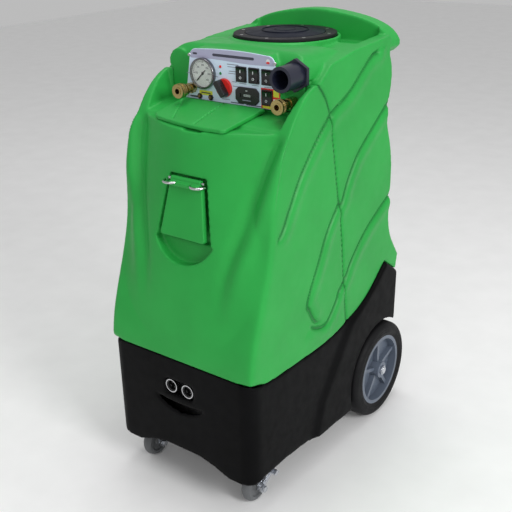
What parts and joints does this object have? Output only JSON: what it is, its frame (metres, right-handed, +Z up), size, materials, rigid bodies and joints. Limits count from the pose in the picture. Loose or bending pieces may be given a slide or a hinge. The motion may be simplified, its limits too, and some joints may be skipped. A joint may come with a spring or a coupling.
{
  "type": "carpet cleaner machine",
  "caption": "Upright box carpet extractor with stacked solution and recovery tanks, control panel, vacuum and solution hose ports, large rear wheels and braked front casters.",
  "frame": {"origin": "on the floor, under the middle of the overall box", "axes": "+Z up, -Y the front with the operator's panel, +X to the right of someone who looks at the panel"},
  "size_m": [0.446, 0.664, 1.018],
  "materials": {
    "green_tank": "rotomoulded, satin",
    "black_base": "rotomoulded, satin",
    "black_lid": "smooth",
    "black_flange": "smooth",
    "seal_rubber": "matte",
    "panel_face": "satin",
    "screw_steel": "plated",
    "gauge_metal": "polished",
    "gauge_face": "satin",
    "needle_paint": "satin",
    "clear_lens": "clear",
    "switch_black": "smooth",
    "knob_red": "smooth",
    "lamp_green": "smooth",
    "button_white": "smooth",
    "port_plastic": "satin",
    "coupler_brass": "machined",
    "ring_chrome": "polished",
    "axle_steel": "zinc plated",
    "hub_grey": "satin",
    "tyre_rubber": "matte",
    "caster_grey": "matte",
    "motor_metal": "cast"
  },
  "bodies": {
    "machine": {"base_housing": "black_base", "solution_tank": "green_tank", "recovery_tank": "green_tank", "lid_flange": "black_flange", "lid_flange_screws": "screw_steel", "control_panel": "panel_face", "panel_screws": "screw_steel", "gauge_case": "gauge_metal", "gauge_dial": "gauge_face", "gauge_lens": "clear_lens", "switch_bezels": "switch_black", "hour_meter": "switch_black", "indicator_red": "knob_red", "indicator_green": "lamp_green", "breaker_housings": "switch_black", "vacuum_port": "port_plastic", "coupler_left": "coupler_brass", "coupler_right": "coupler_brass", "door_hinge_rod": "ring_chrome", "power_inlets": "switch_black", "inlet_rings": "ring_chrome", "axle": "axle_steel", "axle_brackets": "axle_steel", "axle_retainers": "axle_steel", "caster_plates": "axle_steel", "caster_screws": "screw_steel", "vacuum_motors": "motor_metal", "solution_pump": "motor_metal", "standpipe": "black_flange", "drain_valve": "port_plastic"},
    "lid_seal": {"lid_seal": "seal_rubber"},
    "lid": {"lid": "black_lid"},
    "fill_lid": {"fill_lid": "green_tank"},
    "service_door": {"service_door": "green_tank", "door_rings": "ring_chrome"},
    "rocker_1": {"rocker_1": "switch_black"},
    "rocker_2": {"rocker_2": "switch_black"},
    "rocker_3": {"rocker_3": "switch_black"},
    "rocker_4": {"rocker_4": "switch_black"},
    "knob": {"knob_skirt": "knob_red", "knob_grip": "switch_black"},
    "gauge_needle": {"gauge_needle": "needle_paint"},
    "coupler_sleeve_left": {"coupler_sleeve_left": "coupler_brass"},
    "coupler_sleeve_right": {"coupler_sleeve_right": "coupler_brass"},
    "breaker_button_left": {"breaker_button_left": "button_white"},
    "breaker_button_right": {"breaker_button_right": "button_white"},
    "left_wheel": {"left_wheel_hub": "hub_grey", "left_tyre": "tyre_rubber"},
    "right_wheel": {"right_wheel_hub": "hub_grey", "right_tyre": "tyre_rubber"},
    "left_caster": {"left_caster_fork": "axle_steel", "left_caster_bolt": "axle_steel"},
    "right_caster": {"right_caster_fork": "axle_steel", "right_caster_bolt": "axle_steel"},
    "left_caster_wheel": {"left_caster_wheel": "caster_grey"},
    "right_caster_wheel": {"right_caster_wheel": "caster_grey"},
    "left_caster_brake": {"left_caster_brake": "axle_steel"},
    "right_caster_brake": {"right_caster_brake": "axle_steel"},
    "drain_handle": {"drain_handle": "port_plastic"},
    "float_ball": {"float_ball": "black_flange"}
  },
  "joints": [
    {"name": "lid_lift", "type": "slide", "parent": "machine", "child": "lid_seal", "axis": [0, 0, 1], "range_m": [0, 0.15]},
    {"name": "lid_turn", "type": "hinge", "parent": "lid_seal", "child": "lid", "pos_m": [0, 0.086, 0.98], "axis": [0, 0, 1], "range_deg": [0, 90]},
    {"name": "fill_lid_slide", "type": "slide", "parent": "machine", "child": "fill_lid", "axis": [0, -0.9986, 0.0523], "range_m": [0, 0.14]},
    {"name": "service_door_hinge", "type": "hinge", "parent": "machine", "child": "service_door", "pos_m": [0, -0.268, 0.731], "axis": [-1, 0, 0], "range_deg": [0, 75]},
    {"name": "knob_turn", "type": "hinge", "parent": "machine", "child": "knob", "pos_m": [-0.018, -0.1125, 0.89], "axis": [0, -1, 0], "range_deg": [-135, 135]},
    {"name": "gauge_needle_turn", "type": "hinge", "parent": "machine", "child": "gauge_needle", "pos_m": [-0.074, -0.1125, 0.915], "axis": [0, 1, 0], "range_deg": [0, 270], "stiffness_Nm_per_rad": 0.0001, "springref_deg": -34.38},
    {"name": "left_wheel_spin", "type": "hinge", "parent": "machine", "child": "left_wheel", "pos_m": [-0.19, 0.205, 0.127], "axis": [1, 0, 0], "continuous": true},
    {"name": "right_wheel_spin", "type": "hinge", "parent": "machine", "child": "right_wheel", "pos_m": [0.19, 0.205, 0.127], "axis": [1, 0, 0], "continuous": true},
    {"name": "drain_handle_turn", "type": "hinge", "parent": "machine", "child": "drain_handle", "pos_m": [0, 0.292, 0.5], "axis": [0, 0, 1], "range_deg": [0, 90]},
    {"name": "float_rise", "type": "slide", "parent": "machine", "child": "float_ball", "axis": [0, 0, 1], "range_m": [0, 0.026]},
    {"name": "rocker_1_tip", "type": "hinge", "parent": "machine", "child": "rocker_1", "pos_m": [0.027, -0.1115, 0.9225], "axis": [1, 0, 0], "range_deg": [-8, 8]},
    {"name": "rocker_2_tip", "type": "hinge", "parent": "machine", "child": "rocker_2", "pos_m": [0.0595, -0.1115, 0.9225], "axis": [1, 0, 0], "range_deg": [-8, 8]},
    {"name": "rocker_3_tip", "type": "hinge", "parent": "machine", "child": "rocker_3", "pos_m": [0.0925, -0.1115, 0.9225], "axis": [1, 0, 0], "range_deg": [-8, 8]},
    {"name": "rocker_4_tip", "type": "hinge", "parent": "machine", "child": "rocker_4", "pos_m": [0.092, -0.1115, 0.8815], "axis": [1, 0, 0], "range_deg": [-8, 8]},
    {"name": "coupler_sleeve_left_slide", "type": "slide", "parent": "machine", "child": "coupler_sleeve_left", "axis": [0, 1, 0], "range_m": [0, 0.006], "stiffness_N_per_m": 400},
    {"name": "coupler_sleeve_right_slide", "type": "slide", "parent": "machine", "child": "coupler_sleeve_right", "axis": [0, 1, 0], "range_m": [0, 0.006], "stiffness_N_per_m": 400},
    {"name": "breaker_button_left_press", "type": "slide", "parent": "machine", "child": "breaker_button_left", "axis": [0, 1, 0], "range_m": [0, 0.003], "stiffness_N_per_m": 200},
    {"name": "breaker_button_right_press", "type": "slide", "parent": "machine", "child": "breaker_button_right", "axis": [0, 1, 0], "range_m": [0, 0.003], "stiffness_N_per_m": 200},
    {"name": "left_caster_swivel", "type": "hinge", "parent": "machine", "child": "left_caster", "pos_m": [-0.15, -0.24, 0.09], "axis": [0, 0, 1], "continuous": true},
    {"name": "left_caster_roll", "type": "hinge", "parent": "left_caster", "child": "left_caster_wheel", "pos_m": [-0.15, -0.264, 0.038], "axis": [1, 0, 0], "continuous": true},
    {"name": "left_caster_brake_press", "type": "hinge", "parent": "left_caster", "child": "left_caster_brake", "pos_m": [-0.13, -0.264, 0.038], "axis": [-1, 0, 0], "range_deg": [0, 18]},
    {"name": "right_caster_swivel", "type": "hinge", "parent": "machine", "child": "right_caster", "pos_m": [0.15, -0.24, 0.09], "axis": [0, 0, 1], "continuous": true},
    {"name": "right_caster_roll", "type": "hinge", "parent": "right_caster", "child": "right_caster_wheel", "pos_m": [0.15, -0.264, 0.038], "axis": [1, 0, 0], "continuous": true},
    {"name": "right_caster_brake_press", "type": "hinge", "parent": "right_caster", "child": "right_caster_brake", "pos_m": [0.17, -0.264, 0.038], "axis": [-1, 0, 0], "range_deg": [0, 18]}
  ]
}
